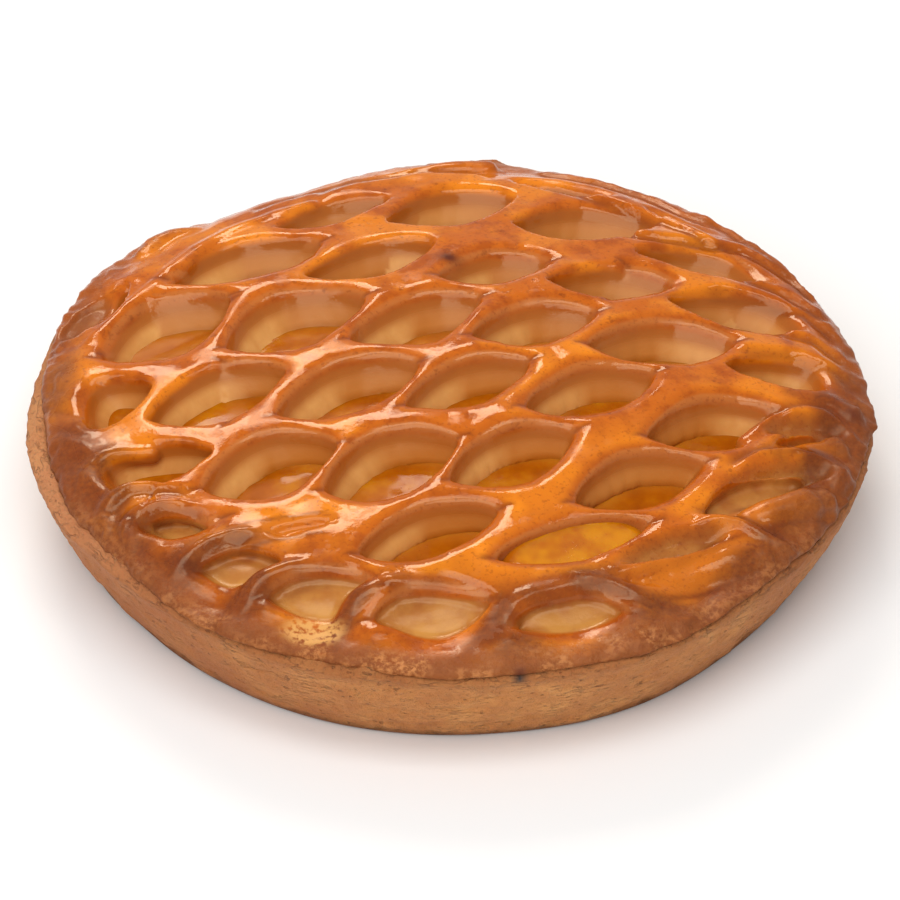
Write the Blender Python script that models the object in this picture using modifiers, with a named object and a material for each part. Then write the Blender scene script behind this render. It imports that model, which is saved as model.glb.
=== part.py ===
"""Lattice apricot tart: a tapered shortcrust case, its apricot filling and a slit, stretched lattice lid.

Metres, +Z up. The origin is the centre of the flat underside that the tart stands on.
-Y is the side with the pressed-down front edge, +X is to its right.
"""

import math

import bmesh
import bpy
from mathutils import Vector, noise

# Case: a flared cup of shortcrust
BASE_RADIUS = 0.0888
RIM_RADIUS = 0.0993
CASE_HEIGHT = 0.0255
FLOOR_THICKNESS = 0.005
WALL_THICKNESS = 0.0065
HEEL_ROUNDING = 0.0016
SIDE_BULGE = 0.0008
CASE_SEGMENTS = 96
CASE_SIDE_STEPS = 5
CASE_UNEVENNESS = 0.0007
CASE_LUMPS_PER_METRE = (55.0, 130.0)
FLOOR_FILLET_RUN = 0.003
FLOOR_FILLET_RISE = 0.002
RIM_CHAMFER_WIDTH = 0.001
RIM_CHAMFER_HEIGHT = 0.0008

# Lid: a domed sheet of dough
LID_TOP = 0.0415
LID_EDGE_TOP = 0.0300
LID_EDGE_AT = 0.094
LID_THICKNESS = 0.0092
LID_RADIUS = 0.0985
LID_ROLL = 0.0026
LID_ROLL_SLOPE = 0.16
LID_ROLL_CURVE = 22.0
LID_SWELL = 0.0009
LID_SWELLS_PER_METRE = 70.0
LID_OUTLINE_POINTS = 120
GAP = 0.0003

# The underside changes from following the dome to lying on the rim between these shares of the
# radius at the inner rim
UNDERSIDE_FADE = (0.60, 0.98)

# Waves of the lid's edge: height, how many go round, where they start in degrees
EDGE_WAVES = ((0.0005, 5, 40), (0.0004, 11, 0))

# Openings of the lid: slits that stretching has pulled into leaning eyes
EYE_LENGTH = 0.0340
EYE_WIDTH = 0.0190
EYE_LEAN = 0.10
EYE_POINTS = 20
EYE_TIP_SHARPNESS = 1.12
EYE_SIDE_FLATNESS = 1.55
EYE_TIP_GROWTH = 0.5
EYE_SLIT_GROWTH = 0.1
EYE_MARGIN = 0.0085
EYE_MARGIN_SOFTNESS = 0.005

# On the way down, each hole leans towards this point, by this share of its distance from it
LEAN_POINT = (0.0, -0.035)
HOLE_LEAN = 0.065

# Where the edge reaches out or is pressed in, mostly strand ends: bearing in degrees, reach, half
# width in degrees
EDGE_REACHES = (
    (192, -0.0030, 26),
    (84.5, 0.0052, 3.2),
    (92, 0.0036, 6.0),
    (-3, 0.0022, 4.0),
    (136, 0.0036, 3.0),
    (64, 0.0010, 4.0),
    (55, 0.0008, 5.0),
    (-33, 0.0010, 5.0),
)

# Filling
FILLING_SEGMENTS = 72
FILLING_TOP_STEPS = 8
FILLING_TOP_CORNER = 0.0012
FILLING_BOTTOM_CORNER = 0.0008
FILLING_SIDE_GAP = 1.6 * GAP

# Where the whole tart bulges or is flattened: bearing in degrees, how far, half width in degrees
OUT_OF_ROUND = (
    (119, -0.0036, 19),
    (152, 0.0030, 14),
    (190, 0.0020, 20),
    (218, -0.0016, 12),
    (267, 0.0006, 8),
    (-64, 0.0012, 11),
    (-36, -0.0010, 10),
    (-14, 0.0012, 14),
    (52, 0.0003, 12),
)

# Rows of slits from back to front. A row runs along y = middle + slope * x, and bends away by
# bend * x * x right of the middle, all in mm. Tilt is the eyes' angle in degrees at the left edge,
# in the middle and at the right edge. Each eye is its x and how far it lies off the row's line,
# both in mm, how far it is open, where 1 is fully, and its length as a share of EYE_LENGTH.
ROW_REACH = 90.0
ROWS = (
    {"middle": 86, "slope": -0.04, "bend": -0.0046, "tilt": (0, -2, -40), "eyes": (
        (28.5, 0.5, 0.28, 0.80), (58, 0.5, 0.24, 0.68))},
    {"middle": 69.5, "slope": -0.10, "bend": -0.0036, "tilt": (20, 22, -16), "eyes": (
        (-30, -1, 0.64, 0.90), (0, 1, 1.04, 1.0), (33, 1.5, 0.96, 1.04), (65, 1, 0.62, 1.18))},
    {"middle": 38.5, "slope": -0.19, "bend": 0, "tilt": (27, 20, -10), "eyes": (
        (-50, 0.5, 1.04, 1.06), (-20, 3, 0.86, 1.0), (10.5, 3, 0.68, 0.80), (38.5, 4, 0.70, 0.90),
        (71, 3.5, 0.78, 1.08))},
    {"middle": 34, "slope": 0, "bend": 0, "tilt": (52, 0, 0), "eyes": (
        (-84, 0, 0.60, 0.64),)},
    {"middle": 15, "slope": -0.09, "bend": -0.0005, "tilt": (30, 29, -2), "eyes": (
        (-67.5, 0, 1.18, 1.02), (-37, 0.5, 1.16, 1.04), (-8, 1.5, 0.92, 1.0), (20, 2.5, 0.76, 0.92),
        (50.5, 2, 0.82, 1.04), (82, 1, 0.62, 0.95))},
    {"middle": -12, "slope": -0.06, "bend": -0.0010, "tilt": (18, 31, 22), "eyes": (
        (-82, 1, 0.88, 0.74), (-54.5, 1, 1.0, 1.0), (-24, 1.5, 0.90, 1.06), (4, 4, 0.76, 0.96),
        (33, 5.5, 0.80, 0.98), (61.5, 1.5, 0.84, 0.96), (83.5, 2, 0.54, 0.68))},
    {"middle": -37.5, "slope": -0.06, "bend": 0, "tilt": (6, 32, 24), "eyes": (
        (-72, 1.5, 0.78, 0.96), (-42.5, -0.5, 1.08, 0.95), (-14, 0, 1.02, 1.0), (14.5, 4.5, 0.86, 0.96),
        (44, 0, 0.80, 1.0), (75, 0.5, 0.82, 1.0))},
    {"middle": -59, "slope": -0.09, "bend": 0, "tilt": (-6, 25, 12), "eyes": (
        (-66, 1, 0.50, 0.70), (-36, -1.5, 0.14, 0.52), (-5, 0, 0.74, 0.98), (28, 1, 0.52, 1.10),
        (51, -2.5, 0.46, 0.92))},
    {"middle": -80.5, "slope": 0.0, "bend": 0, "tilt": (-12, 8, 0), "eyes": (
        (-50, 14, 0.54, 0.66), (-29.5, 4.5, 0.66, 0.74), (-4.5, -1, 0.68, 0.78), (25.5, -1.5, 0.78, 0.86))},
)

# From the lid's top to its underside: share of its height, and how far a hole is wider than its throat
HOLE_LEVELS = ((1.0, 0.0017), (0.90, 0.0006), (0.70, 0.0), (0.0, -0.0024))
EDGE_LEVELS = ((1.0, -0.0042), (0.90, -0.0016), (0.62, 0.0), (0.0, -0.0004))

MATERIALS = {
    "case": ((0.55, 0.29, 0.12), 0.85),
    "filling": ((0.52, 0.17, 0.01), 0.20),
    "lid": ((0.62, 0.18, 0.02), 0.25),
}
SMOOTH_UP_TO = math.radians(40)


def clear_scene():
    for obj in list(bpy.data.objects):
        bpy.data.objects.remove(obj, do_unlink=True)


def make_material(name):
    colour, roughness = MATERIALS[name]
    material = bpy.data.materials.new(name)
    material.use_nodes = True
    shader = material.node_tree.nodes["Principled BSDF"]
    shader.inputs["Base Color"].default_value = (*colour, 1.0)
    shader.inputs["Roughness"].default_value = roughness
    shader.inputs["Metallic"].default_value = 0.0
    return material


def add_object(name, mesh, collection, material):
    obj = bpy.data.objects.new(name, mesh)
    collection.objects.link(obj)
    mesh.materials.clear()
    mesh.materials.append(make_material(material))
    mesh.shade_smooth()
    mesh.set_sharp_from_angle(angle=SMOOTH_UP_TO)
    return obj


def turned_mesh(name, profile, segments):
    """The closed mesh that a profile of (radius, height) points makes when it turns about Z."""
    outline = bpy.data.meshes.new(name + "_profile")
    edges = [(i, i + 1) for i in range(len(profile) - 1)]
    outline.from_pydata([(radius, 0.0, height) for radius, height in profile], edges, [])
    blank = bpy.data.objects.new(name + "_profile", outline)
    bpy.context.scene.collection.objects.link(blank)
    screw = blank.modifiers.new("turn", "SCREW")
    screw.axis = "Z"
    screw.steps = segments
    screw.render_steps = segments
    screw.use_merge_vertices = True
    screw.merge_threshold = 0.00005
    graph = bpy.context.evaluated_depsgraph_get()
    mesh = bpy.data.meshes.new_from_object(blank.evaluated_get(graph))
    bpy.data.objects.remove(blank)
    bpy.data.meshes.remove(outline)
    return mesh


def lid_top(radius):
    """Height of the lid's upper face: a flat dome that turns down over the rim."""
    share = min(radius / LID_EDGE_AT, 1.0)
    dome = LID_EDGE_TOP + (LID_TOP - LID_EDGE_TOP) * (1.0 - share * share)
    overhang = max(0.0, radius - LID_EDGE_AT + LID_ROLL)
    return dome - LID_ROLL_SLOPE * overhang - LID_ROLL_CURVE * overhang * overhang


def lid_under(radius):
    """Height of the lid's underside: it follows the filling, then lies level on the case's rim."""
    rest = CASE_HEIGHT + GAP
    start, end = (share * (RIM_RADIUS - WALL_THICKNESS) for share in UNDERSIDE_FADE)
    fade = min(max((radius - start) / (end - start), 0.0), 1.0)
    fade = fade * fade * (3.0 - 2.0 * fade)
    return (1.0 - fade) * (lid_top(radius) - LID_THICKNESS) + fade * rest


def case_profile():
    """Inner floor, inner wall, rim, outer side and underside, as (radius, height)."""
    inner_rim = RIM_RADIUS - WALL_THICKNESS
    inner_floor = BASE_RADIUS - WALL_THICKNESS
    points = [(0.0, FLOOR_THICKNESS), (0.6 * inner_floor, FLOOR_THICKNESS)]
    points += [(inner_floor - FLOOR_FILLET_RUN, FLOOR_THICKNESS)]
    points += [(inner_floor, FLOOR_THICKNESS + FLOOR_FILLET_RISE)]
    points += [(inner_rim, CASE_HEIGHT - RIM_CHAMFER_HEIGHT), (inner_rim + RIM_CHAMFER_WIDTH, CASE_HEIGHT)]
    points += [(RIM_RADIUS - RIM_CHAMFER_WIDTH, CASE_HEIGHT)]
    for step in range(CASE_SIDE_STEPS + 1):
        down = step / CASE_SIDE_STEPS
        height = (CASE_HEIGHT - RIM_CHAMFER_HEIGHT) * (1.0 - down) + HEEL_ROUNDING * down
        radius = RIM_RADIUS * (1.0 - down) + BASE_RADIUS * down
        points.append((radius + SIDE_BULGE * math.sin(math.pi * down), height))
    points.append((BASE_RADIUS - 0.3 * HEEL_ROUNDING, 0.3 * HEEL_ROUNDING))
    points += [(BASE_RADIUS - HEEL_ROUNDING, 0.0), (0.5 * BASE_RADIUS, 0.0), (0.0, 0.0)]
    return points


def inner_wall_radius(height):
    """Radius of the case's inner wall at a height."""
    foot = FLOOR_THICKNESS + FLOOR_FILLET_RISE
    share = (height - foot) / (CASE_HEIGHT - RIM_CHAMFER_HEIGHT - foot)
    return BASE_RADIUS + (RIM_RADIUS - BASE_RADIUS) * share - WALL_THICKNESS


def filling_profile():
    """Top from the middle outwards, wall and underside, a gap inside the case and under the lid."""
    foot = FLOOR_THICKNESS + FLOOR_FILLET_RISE
    bottom = FLOOR_THICKNESS + GAP
    top_corner = CASE_HEIGHT - FILLING_TOP_CORNER
    bottom_corner = foot + FILLING_BOTTOM_CORNER
    top_radius = inner_wall_radius(top_corner) - FILLING_SIDE_GAP
    bottom_radius = inner_wall_radius(bottom_corner) - FILLING_SIDE_GAP
    floor_edge = inner_wall_radius(foot) - FLOOR_FILLET_RUN
    points = []
    for step in range(FILLING_TOP_STEPS + 1):
        radius = top_radius * step / FILLING_TOP_STEPS
        points.append((radius, lid_under(radius) - GAP))
    points += [(top_radius, top_corner), (bottom_radius, bottom_corner), (floor_edge, bottom)]
    points += [(0.5 * floor_edge, bottom), (0.0, bottom)]
    return points


def roughen_side(mesh):
    """Low lumps and dents on the outer side of the case, which leave its rim and underside true."""
    for vertex in mesh.vertices:
        radius = math.hypot(vertex.co.x, vertex.co.y)
        height = vertex.co.z
        outer_side = BASE_RADIUS + (RIM_RADIUS - BASE_RADIUS) * height / CASE_HEIGHT
        above_heel = height > 0.9 * HEEL_ROUNDING
        below_rim = height < CASE_HEIGHT - 0.5 * RIM_CHAMFER_HEIGHT
        if radius > outer_side - 0.5 * WALL_THICKNESS and above_heel and below_rim:
            coarse, fine = (noise.noise(vertex.co * scale) for scale in CASE_LUMPS_PER_METRE)
            vertex.co.xy *= 1.0 + CASE_UNEVENNESS * (coarse + 0.5 * fine) / radius


def angle_between(a, b):
    return (a - b + 180.0) % 360.0 - 180.0


def press_out_of_round(mesh):
    """Moves the points in or out with their bearing, so that all pieces keep their fit."""
    for vertex in mesh.vertices:
        radius = math.hypot(vertex.co.x, vertex.co.y)
        if radius == 0.0:
            continue
        bearing = math.degrees(math.atan2(vertex.co.y, vertex.co.x))
        moved = sum(reach * math.exp(-((angle_between(bearing, place) / width) ** 2))
                    for place, reach, width in OUT_OF_ROUND)
        vertex.co.xy *= 1.0 + moved / RIM_RADIUS


def edge_radius(bearing):
    """Radius of the lid's edge at a bearing in degrees."""
    radius = LID_RADIUS
    for height, count, start in EDGE_WAVES:
        radius += height * math.sin(math.radians(count * bearing + start))
    for place, reach, width in EDGE_REACHES:
        radius += reach * math.exp(-((angle_between(bearing, place) / width) ** 2))
    return radius


def edge_outline(grow):
    """The lid's outer outline, moved outwards by grow."""
    points = []
    for i in range(LID_OUTLINE_POINTS):
        bearing = 360.0 * i / LID_OUTLINE_POINTS
        radius = edge_radius(bearing) + grow
        points.append((radius * math.cos(math.radians(bearing)), radius * math.sin(math.radians(bearing))))
    return points


def held_inside(x, y, grow):
    """The point pulled in where it would come too near the lid's edge."""
    radius = math.hypot(x, y)
    start = edge_radius(math.degrees(math.atan2(y, x))) - EYE_MARGIN + grow - EYE_MARGIN_SOFTNESS
    if radius <= start:
        return x, y
    held = start + EYE_MARGIN_SOFTNESS * (1.0 - math.exp((start - radius) / EYE_MARGIN_SOFTNESS))
    return x * held / radius, y * held / radius


def eye_outline(row, x_mm, lift_mm, opening, length, grow, depth):
    """One eye: a leaf, sheared, turned by the row's tilt, grown by grow and leaning with depth."""
    right = max(x_mm, 0.0)
    y_mm = row["middle"] + row["slope"] * x_mm + row["bend"] * right * right + lift_mm
    at_left, at_middle, at_right = row["tilt"]
    at_side = at_left if x_mm < 0.0 else at_right
    tilt = math.radians(at_middle + (at_side - at_middle) * abs(x_mm) / ROW_REACH)
    half_length = 0.5 * EYE_LENGTH * length + EYE_TIP_GROWTH * grow
    half_width = 0.5 * EYE_WIDTH * opening + grow * min(1.0, EYE_SLIT_GROWTH + opening)
    lean_x = HOLE_LEAN * depth * (LEAN_POINT[0] - x_mm / 1000.0)
    lean_y = HOLE_LEAN * depth * (LEAN_POINT[1] - y_mm / 1000.0)
    points = []
    for i in range(EYE_POINTS):
        turn = 2.0 * math.pi * i / EYE_POINTS
        along = half_length * math.copysign(abs(math.cos(turn)) ** EYE_TIP_SHARPNESS, math.cos(turn))
        across = half_width * math.copysign(abs(math.sin(turn)) ** EYE_SIDE_FLATNESS, math.sin(turn))
        along += EYE_LEAN * across
        x = x_mm / 1000.0 + along * math.cos(tilt) - across * math.sin(tilt)
        y = y_mm / 1000.0 + along * math.sin(tilt) + across * math.cos(tilt)
        x, y = held_inside(x, y, grow)
        points.append((x + lean_x, y + lean_y))
    return points


def add_ring(bm, outline, share):
    """A closed ring of edges at that share of the lid's height, in the flat."""
    verts = [bm.verts.new((x, y, share)) for x, y in outline]
    return [bm.edges.new((verts[i - 1], verts[i])) for i in range(len(verts))]


def add_wall(bm, outlines_and_shares):
    """Rings down one wall, bridged one to the next. Returns the highest and the lowest ring."""
    rings = [add_ring(bm, outline, share) for outline, share in outlines_and_shares]
    for upper, lower in zip(rings, rings[1:]):
        bmesh.ops.bridge_loops(bm, edges=upper + lower)
    return rings[0], rings[-1]


def dome_over(bm):
    """Bends the flat sheet, whose z is a share of its height, over the filling."""
    for vert in bm.verts:
        radius = math.hypot(vert.co.x, vert.co.y)
        share = vert.co.z
        under = lid_under(radius)
        swell = LID_SWELL * noise.noise(Vector((vert.co.x, vert.co.y, 0.0)) * LID_SWELLS_PER_METRE)
        vert.co.z = under + share * (lid_top(radius) + swell - under)


def lid_mesh():
    bm = bmesh.new()
    walls = [add_wall(bm, [(edge_outline(grow), share) for share, grow in EDGE_LEVELS])]
    for row in ROWS:
        for eye in row["eyes"]:
            levels = [(eye_outline(row, *eye, grow, 1.0 - share), share) for share, grow in HOLE_LEVELS]
            walls.append(add_wall(bm, levels))
    for side in (0, 1):
        edges = [edge for wall in walls for edge in wall[side]]
        bmesh.ops.triangle_fill(bm, use_beauty=True, use_dissolve=False, edges=edges)
    dome_over(bm)
    bmesh.ops.recalc_face_normals(bm, faces=bm.faces)
    mesh = bpy.data.meshes.new("lattice_lid")
    bm.to_mesh(mesh)
    bm.free()
    return mesh


def main():
    clear_scene()
    collection = bpy.data.collections.new("lattice_apricot_tart")
    bpy.context.scene.collection.children.link(collection)

    case = turned_mesh("pastry_case", case_profile(), CASE_SEGMENTS)
    roughen_side(case)
    filling = turned_mesh("apricot_filling", filling_profile(), FILLING_SEGMENTS)
    lid = lid_mesh()
    for mesh in (case, filling, lid):
        press_out_of_round(mesh)
    add_object("pastry_case", case, collection, "case")
    add_object("apricot_filling", filling, collection, "filling")
    add_object("lattice_lid", lid, collection, "lid")


main()
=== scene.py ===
import math
import bpy
import numpy as np
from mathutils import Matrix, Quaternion, Vector, noise
from mathutils.bvhtree import BVHTree
from mathutils.kdtree import KDTree


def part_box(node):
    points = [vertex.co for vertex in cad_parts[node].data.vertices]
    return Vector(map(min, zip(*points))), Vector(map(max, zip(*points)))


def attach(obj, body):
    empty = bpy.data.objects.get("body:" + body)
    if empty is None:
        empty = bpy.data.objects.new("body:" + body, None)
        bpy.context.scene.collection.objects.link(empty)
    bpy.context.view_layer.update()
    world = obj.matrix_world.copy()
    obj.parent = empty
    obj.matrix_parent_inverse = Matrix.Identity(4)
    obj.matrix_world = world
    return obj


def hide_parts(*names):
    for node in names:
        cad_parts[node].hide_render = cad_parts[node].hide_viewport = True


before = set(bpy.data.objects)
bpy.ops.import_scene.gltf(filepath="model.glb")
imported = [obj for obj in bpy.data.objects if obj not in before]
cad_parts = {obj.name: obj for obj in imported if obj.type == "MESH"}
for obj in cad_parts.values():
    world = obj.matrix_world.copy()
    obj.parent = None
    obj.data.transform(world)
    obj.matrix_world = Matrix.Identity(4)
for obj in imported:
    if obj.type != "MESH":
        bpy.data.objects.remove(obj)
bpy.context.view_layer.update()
print("frame loaded:", sorted(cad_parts))

mm = 0.001  # the sizes below are in millimetres, times this


# Selection and mesh helpers

def deselectAll():
    if bpy.context.object and bpy.context.object.mode != "OBJECT":
        bpy.ops.object.mode_set(mode="OBJECT")
    bpy.ops.object.select_all(action="DESELECT")


def pick(piece):
    deselectAll()
    piece.select_set(True)
    bpy.context.view_layer.objects.active = piece


def applyPlace(piece):
    pick(piece)
    bpy.ops.object.transform_apply(location=True, rotation=True, scale=True)


def addModifier(piece, kind, **settings):
    pick(piece)
    modifier = piece.modifiers.new(kind.lower(), kind)
    for name, value in settings.items():
        setattr(modifier, name, value)
    bpy.ops.object.modifier_apply(modifier=modifier.name)


def cadCopy(node, name):
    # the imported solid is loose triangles, so its copy is merged before any work on it
    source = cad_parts[node]
    piece = bpy.data.objects.new(name, source.data.copy())
    bpy.context.scene.collection.objects.link(piece)
    piece.data.name = name
    piece.data.materials.clear()
    pick(piece)
    bpy.ops.object.mode_set(mode="EDIT")
    bpy.ops.mesh.select_all(action="SELECT")
    bpy.ops.mesh.remove_doubles(threshold=0.00001)
    bpy.ops.object.mode_set(mode="OBJECT")
    return piece


def joinInto(piece, others):
    pick(piece)
    for other in others:
        other.select_set(True)
    bpy.ops.object.join()
    return piece


def remeshAt(piece, voxel):
    pick(piece)
    piece.data.remesh_voxel_size = voxel
    piece.data.remesh_voxel_adaptivity = 0
    bpy.ops.object.voxel_remesh()


def pointsOf(piece):
    points = np.empty(len(piece.data.vertices) * 3)
    piece.data.vertices.foreach_get("co", points)
    return points.reshape(-1, 3)


def normalsOf(piece):
    normals = np.empty(len(piece.data.vertices) * 3)
    piece.data.vertices.foreach_get("normal", normals)
    return normals.reshape(-1, 3)


def movePoints(piece, points):
    piece.data.vertices.foreach_set("co", np.ascontiguousarray(points).ravel())
    piece.data.update()


def keepValues(piece, **kept):
    # one value for each point under each name, for the materials
    for name, values in kept.items():
        layer = piece.data.attributes.new(name, "FLOAT", "POINT")
        layer.data.foreach_set("value", np.ascontiguousarray(values, dtype=np.float32))


def lumps(points, size, seed=0.0, stretch=(1, 1, 1)):
    # smooth noise of about that size, from -1 to 1
    scaled = points * (np.array(stretch) / size) + seed
    return np.array([noise.noise(Vector(point)) for point in scaled])


def smoothStep(values, low, high):
    share = np.clip((values - low) / (high - low), 0, 1)
    return share * share * (3 - 2 * share)


def fadeOut(values, low, high):
    return 1 - smoothStep(values, low, high)


def bearingOf(points):
    return np.degrees(np.arctan2(points[:, 1], points[:, 0]))


def aroundBearing(bearing, place, width):
    away = (bearing - place + 180) % 360 - 180
    return np.exp(-(away / width) ** 2)


def around(points, x, y, length, width, tilt=0):
    # 1 at a spot and fading out over an ellipse of that half length and half width, all in mm
    dx = points[:, 0] / mm - x
    dy = points[:, 1] / mm - y
    turn = math.radians(tilt)
    along = dx * math.cos(turn) + dy * math.sin(turn)
    across = dy * math.cos(turn) - dx * math.sin(turn)
    return np.exp(-(along / length) ** 2 - (across / width) ** 2)


def spotted(points, spots):
    return sum(share * around(points, *place) for share, *place in spots)


# Shader maths as Python expressions

class Wire:
    def __init__(self, finish, socket):
        self.finish = finish
        self.socket = socket

    def sum(self, operation, first, second):
        return self.finish.node("ShaderNodeMath", {"operation": operation}, {0: first, 1: second})

    def __add__(self, other):
        return self.sum("ADD", self, other)

    def __radd__(self, other):
        return self.sum("ADD", other, self)

    def __sub__(self, other):
        return self.sum("SUBTRACT", self, other)

    def __rsub__(self, other):
        return self.sum("SUBTRACT", other, self)

    def __mul__(self, other):
        return self.sum("MULTIPLY", self, other)

    def __rmul__(self, other):
        return self.sum("MULTIPLY", other, self)

    def between(self, low, high):
        # 0 below low, 1 above high, smooth in between
        settings = {"interpolation_type": "SMOOTHSTEP"}
        inputs = {"Value": self, "From Min": low, "From Max": high, "To Min": 0.0, "To Max": 1.0}
        return self.finish.node("ShaderNodeMapRange", settings, inputs)


class Finish:
    def __init__(self, name, tones=None, **fixed):
        self.tones = tones
        self.material = bpy.data.materials.new(name)
        self.material.use_nodes = True
        self.tree = self.material.node_tree
        self.shader = self.tree.nodes["Principled BSDF"]
        for socket, value in fixed.items():
            self.shader.inputs[socket.replace("_", " ")].default_value = value
        self.place = self.node("ShaderNodeTexCoord", {}, {}, "Object")

    def node(self, kind, settings, inputs, output=0):
        made = self.tree.nodes.new(kind)
        for name, value in settings.items():
            if name == "stops":
                self.setStops(made.color_ramp, value)
            else:
                setattr(made, name, value)
        for name, value in inputs.items():
            socket = made.inputs[name]
            if isinstance(value, Wire):
                self.tree.links.new(value.socket, socket)
            else:
                colour = socket.type == "RGBA" and len(value) == 3
                socket.default_value = (*value, 1.0) if colour else value
        return Wire(self, made.outputs[output])

    def setStops(self, ramp, stops):
        while len(ramp.elements) > 1:
            ramp.elements.remove(ramp.elements[-1])
        for index, (position, colour) in enumerate(stops):
            stop = ramp.elements[0] if index == 0 else ramp.elements.new(position)
            stop.position = position
            stop.color = (*colour, 1.0)

    def ramp(self, value, stops):
        return self.node("ShaderNodeValToRGB", {"stops": stops}, {"Fac": value})

    def value(self, name):
        return self.node("ShaderNodeAttribute", {"attribute_name": name}, {}, "Fac")

    def grain(self, size, detail=3.0, roughness=0.5, stretch=(1, 1, 1)):
        # noise of about that size in metres, between 0 and 1
        scale = tuple(part / size for part in stretch)
        place = self.node("ShaderNodeMapping", {}, {"Vector": self.place, "Scale": scale})
        inputs = {"Vector": place, "Scale": 1.0, "Detail": detail, "Roughness": roughness}
        return self.node("ShaderNodeTexNoise", {"noise_dimensions": "3D"}, inputs)

    def cells(self, size):
        # distance from the middle of round cells of about that size
        inputs = {"Vector": self.place, "Scale": 1 / size}
        return self.node("ShaderNodeTexVoronoi", {"feature": "F1"}, inputs)

    def mix(self, share, first, second):
        settings = {"data_type": "RGBA", "blend_type": "MIX", "clamp_factor": True}
        return self.node("ShaderNodeMix", settings, {0: share, 6: first, 7: second}, 2)

    def paint(self, tone, share):
        # lays one of the finish's own tones over the colour so far
        self.colour = self.mix(share, self.colour, self.tones[tone])

    def relief(self, height, depth):
        # a bump of that depth in metres
        inputs = {"Strength": 1.0, "Distance": depth, "Height": height}
        return self.node("ShaderNodeBump", {}, inputs)

    def feed(self, socket, wire):
        self.tree.links.new(wire.socket, self.shader.inputs[socket])


def dress(piece, finish):
    piece.data.materials.clear()
    piece.data.materials.append(finish.material)
    pick(piece)
    bpy.ops.object.shade_smooth()
    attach(piece, "root")


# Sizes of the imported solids

shape = {
    "lidTop": 41.5 * mm,
    "lidEdgeTop": 30 * mm,
    "lidEdgeAt": 94 * mm,
    "lidThickness": 9.2 * mm,
    "rimHeight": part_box("pastry_case")[1][2],
}


def domeHeight(radius):
    share = np.minimum(radius / shape["lidEdgeAt"], 1)
    return shape["lidEdgeTop"] + (shape["lidTop"] - shape["lidEdgeTop"]) * (1 - share ** 2)


# Camera, floor and light

studio = {
    "elevation": 38.2,
    "distance": 1.4,
    "aimHeight": 13.8 * mm,
    "lens": 234.5,
    "sensor": 36,
    "shift": -0.0011,
    "nearest": 0.01,
    "floorSize": 12,
    "floorDrop": 0.2 * mm,
    "floor": (0.86, 0.86, 0.86),
    "floorRoughness": 0.9,
    "world": (1, 0.99, 0.97),
    "worldStrength": 0.42,
    # bearing and height in degrees, distance, width and height in metres, power, colour
    "softboxes": {
        "backLeftBox": (104, 43, 1.5, 0.56, 0.46, 7.5, (1, 0.90, 0.80)),
        "topBox": (265, 79, 1.6, 1.4, 0.55, 9.5, (1, 1, 1)),
        "frontBox": (250, 48, 1.8, 1.8, 1.1, 18, (1, 1, 1)),
    },
}


def makeCamera():
    rise = math.radians(studio["elevation"])
    away = studio["distance"] * math.cos(rise)
    height = studio["aimHeight"] + studio["distance"] * math.sin(rise)
    bpy.ops.object.camera_add(location=(0, -away, height), rotation=(math.radians(90) - rise, 0, 0))
    camera = bpy.context.object
    camera.name = "camera"
    camera.data.lens = studio["lens"]
    camera.data.sensor_width = studio["sensor"]
    camera.data.shift_x = studio["shift"]
    camera.data.clip_start = studio["nearest"]
    bpy.context.scene.camera = camera


def makeSoftbox(name, bearing, rise, distance, width, height, power, colour):
    turn = math.radians(bearing)
    up = math.radians(rise)
    ahead = Vector((math.cos(turn) * math.cos(up), math.sin(turn) * math.cos(up), math.sin(up)))
    bpy.ops.object.light_add(type="AREA", location=ahead * distance)
    light = bpy.context.object
    light.name = name
    light.rotation_euler = (-ahead).to_track_quat("-Z", "Y").to_euler()
    light.data.shape = "RECTANGLE"
    light.data.size = width
    light.data.size_y = height
    light.data.energy = power
    light.data.color = colour


def makeStudio():
    bpy.ops.mesh.primitive_plane_add(size=studio["floorSize"], location=(0, 0, -studio["floorDrop"]))
    floor = bpy.context.object
    floor.name = "floor"
    paint = Finish("floorPaint", Base_Color=(*studio["floor"], 1), Roughness=studio["floorRoughness"])
    floor.data.materials.append(paint.material)
    world = bpy.data.worlds.new("studio")
    bpy.context.scene.world = world
    world.use_nodes = True
    sky = world.node_tree.nodes["Background"]
    sky.inputs["Color"].default_value = (*studio["world"], 1)
    sky.inputs["Strength"].default_value = studio["worldStrength"]
    for name, settings in studio["softboxes"].items():
        makeSoftbox(name, *settings)
    bpy.context.scene.view_settings.view_transform = "Standard"


deselectAll()
makeCamera()
makeStudio()
print("studio ready")


# Lattice lid

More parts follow.
